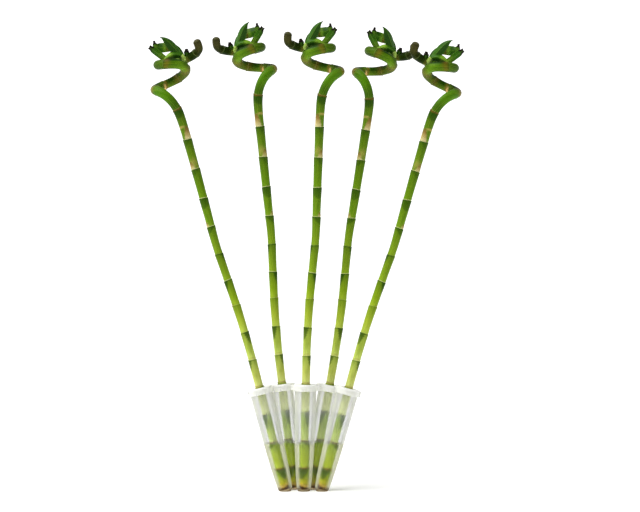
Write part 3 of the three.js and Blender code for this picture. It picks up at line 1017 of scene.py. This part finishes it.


# Frosted plastic: part of the light goes on, bent a little, and the rest is scattered to both
# sides. The frost is heaviest under the collar, and clears where water wets the wall. At the foot
# it is dark brown, painted shade in place of the shade at the bottom and the image of the stem's
# dark cut end seen through it.
def frostedMaterial():
    material, tree = newMaterial("frostedPlastic")
    place = objectPlace(tree)
    level = put(tree, "SeparateXYZ", {0: place}).outputs[2]
    wet, heavy, foot = (ranged(tree, level, *frost[key], 0, 1) for key in ("wet", "heavy", "foot"))
    cloud = noiseOn(tree, place, (70, 70, 30), 3, 0.5)
    fine = noiseOn(tree, place, (2600, 2600, 2600), 2, 0.5)
    milk = ranged(tree, heavy, 0, 1, *frost["milk"])
    milk = times(tree, milk, ranged(tree, wet, 0, 1, 1, frost["wetMilk"]))
    milk = times(tree, milk, ranged(tree, cloud, 0.3, 0.7, 0.9, 1.1))
    slant = put(tree, "LayerWeight", {"Blend": 0.5}).outputs["Facing"]
    milk = maths(tree, "MAXIMUM", milk, ranged(tree, slant, *frost["slant"], 0, frost["rim"]))
    bump = bumped(tree, fine, 0.12, 0.0001)
    white = mixed(tree, cloud, *frost["white"])
    white = coated(tree, white, [(wet, frost["wetWhite"]), (foot, frost["footWhite"])])
    near = output(tree, "BsdfDiffuse", {"Color": white, "Normal": bump})
    far = output(tree, "BsdfTranslucent", {"Color": white, "Normal": bump})
    kinds = ((heavy, "heavySmoke"), (wet, "wetSmoke"), (foot, "footSmoke"))
    smoke = coated(tree, frost["smoke"], [(share, frost[key]) for share, key in kinds])
    sharp = output(tree, "BsdfTransparent", {"Color": smoke})
    soft = output(tree, "BsdfRefraction", {"Color": smoke, "Roughness": 0.6, "IOR": 1.08})
    through = blended(tree, frost["soft"], sharp, soft)
    body = blended(tree, milk, through, blended(tree, 0.5, near, far))
    gloss = {"Color": (0.7, 0.7, 0.7, 1), "Roughness": 0.35, "Normal": bump}
    outside = ranged(tree, put(tree, "NewGeometry").outputs["Backfacing"], 0, 1, 0.5, 0)
    share = times(tree, output(tree, "Fresnel", {"IOR": 1.3, "Normal": bump}), outside)
    surface = blended(tree, share, body, output(tree, "BsdfGlossy", gloss))
    finished(tree, litThrough(tree, surface, frost["lit"]))
    return material


vase = vasePiece(frostedMaterial())
dressed(vase, "vase")
print("vase: made with", len(vase.data.polygons), "faces")


# The collar

collar = {
    "radius": 15.8, "bottom": 130, "top": 138.5, "plate": 2.2, "hole": 7.0, "gap": 0.3,
    "topEdge": 0.9, "bottomEdge": 0.4,
    "lug": {"reach": 17.6, "width": 6, "low": 131, "high": 137.6},
    "link": {"thickness": 7, "low": 131, "high": 137.6},
    "white": [(227, 227, 223), (235, 235, 231)],
}


# One white band: five caps over the tube mouths, joined by links, each with a seat for its tube
# and a hole for its stem. An edge is rounded by a quarter of a circle.
def collarPiece(material):
    radius, bottom, top = (collar[key] for key in ("radius", "bottom", "top"))
    edge, lowEdge = collar["topEdge"], collar["bottomEdge"]
    bow = np.linspace(0, 0.5 * math.pi, 7)
    rise, fall = 1 - np.cos(bow), 1 - np.sin(bow)
    capHeights = np.concatenate([bottom + lowEdge * rise, top - edge * fall])
    capRadii = np.concatenate([radius - lowEdge * fall, radius - edge * rise])
    solids = turnedShells(capHeights, capRadii) + ribShells(**collar["link"])
    lug = collar["lug"]
    for place in fan:
        ends = np.maximum(signs, (0, -1)) * (place["side"] * lug["reach"], lug["width"] / 2)
        rings = standingTube(blockRings(ends, lug["low"], lug["high"]), place)
        solids.append(ringShell(rings, None, place["side"] < 0))
    under = top - collar["plate"]
    seat = outerRadius(tube["mouth"]) + collar["gap"]
    rim = collar["hole"] + edge * rise
    rimHeights = top - edge + edge * np.sin(bow)
    holeHeights = np.concatenate([[bottom - past, under, under], rimHeights, [top + past]])
    holeRadii = np.concatenate([[seat, seat, collar["hole"]], rim, [collar["hole"] + edge]])
    return carved("collarBand", solids, turnedShells(holeHeights, holeRadii), material)


# Milky white plastic that lets light in a little way.
def whiteMaterial():
    material, tree = newMaterial("whitePlastic")
    place = objectPlace(tree)
    cloud = noiseOn(tree, place, (90, 90, 90), 3, 0.5)
    grain = noiseOn(tree, place, (1800, 1800, 1800), 2, 0.5)
    painted(tree, {
        "Base Color": mixed(tree, cloud, *collar["white"]),
        "Roughness": ranged(tree, cloud, 0.3, 0.7, 0.4, 0.5),
        "Normal": bumped(tree, grain, 0.1, 0.0001),
        "Subsurface Weight": 0.8, "Subsurface Radius": (1, 1, 1), "Subsurface Scale": 0.008,
    })
    return material


collarBand = collarPiece(whiteMaterial())
dressed(collarBand, "collar")
print("collar: made with", len(collarBand.data.polygons), "faces")


# The water

water = {
    "level": 61, "sides": 64, "gap": 0.05, "hole": 4.75,
    "climb": 0.8, "reach": 1.3,  # of the surface at wall and stem, and how far out
    # shares of the way from wall to stem with a ring on the surface
    "surface": (0.03, 0.07, 0.12, 0.18, 0.26, 0.36, 0.5, 0.64, 0.74, 0.82, 0.88, 0.93, 0.97),
    # radius and height of the rings over the floor, out from the stem
    "floor": [(6.6, 0), (7.2, 0.12), (7.7, 0.4)],
    "aboveFloor": 0.3, "wallFoot": 0.9, "wallRings": 24, "stemRings": 16,
    "stemStretch": 3,  # points of the stem's route that the water reaches
    "glass": (0.985, 0.99, 0.97, 1),
    "lit": (0.985, 0.99, 0.975, 1),
}


# Level water in a tube, as a tyre of rings: up the wall, in over the surface, which climbs as
# exp(-distance / reach) at wall and stem, down the stem, and out over the floor. Its height
# along a leaning wall is found by repeated correction.
def waterShell(place):
    theta = anglesRound(water["sides"])
    around = np.stack([np.cos(theta), np.sin(theta)], axis=-1)

    def wallAt(heights):
        radii = softRadius(heights) - tube["wall"] - water["gap"]
        return standingTube(atHeight(around * radii[:, None], heights), place)

    def stemAt(heights):
        route = np.array(cane["route"][:water["stemStretch"]], float)
        offset = np.interp(heights, route[:, 2], route[:, 0])
        ring = around * (place["side"] * water["hole"], water["hole"])
        ring[:, 0] += offset
        return standingStem(atHeight(ring, heights), place)

    def reached(surfaceAt, level):
        heights = np.full(water["sides"], float(level))
        for _ in range(6):
            heights = heights + level - surfaceAt(heights)[:, 2]
        return heights

    bottom = tube["floor"] + water["aboveFloor"]
    edge = water["level"] + water["climb"]
    wallTop, stemTop = reached(wallAt, edge), reached(stemAt, edge)
    base = np.full(water["sides"], bottom + water["wallFoot"])
    rising = np.linspace(0, 1, water["wallRings"])
    falling = np.linspace(1, 0, water["stemRings"])
    wall = [wallAt(base + (wallTop - base) * share) for share in rising]
    down = [stemAt(bottom + (stemTop - bottom) * share) for share in falling]
    outer, inner = wall[-1], down[0]
    span = np.linalg.norm(inner - outer, axis=1)
    surface = []
    for share in water["surface"]:
        ring = outer + (inner - outer) * share
        climb = water["climb"] * np.exp(-share * span / water["reach"])
        climb = climb + water["climb"] * np.exp(-(1 - share) * span / water["reach"])
        ring[:, 2] = water["level"] + climb
        surface.append(ring)
    flats = [atHeight(around * radius, bottom + rise) for radius, rise in water["floor"]]
    over = [standingTube(flat, place) for flat in flats]
    return tyreShell(np.stack(wall + surface + down + over))


def waterMaterial():
    material, tree = newMaterial("stillWater")
    glass = output(tree, "BsdfGlass", {"Color": water["glass"], "Roughness": 0.0, "IOR": 1.333})
    finished(tree, litThrough(tree, glass, water["lit"]))
    return material


dressFan("waterIn", "water", waterMaterial(), waterShell)
print("water: made", len(fan))
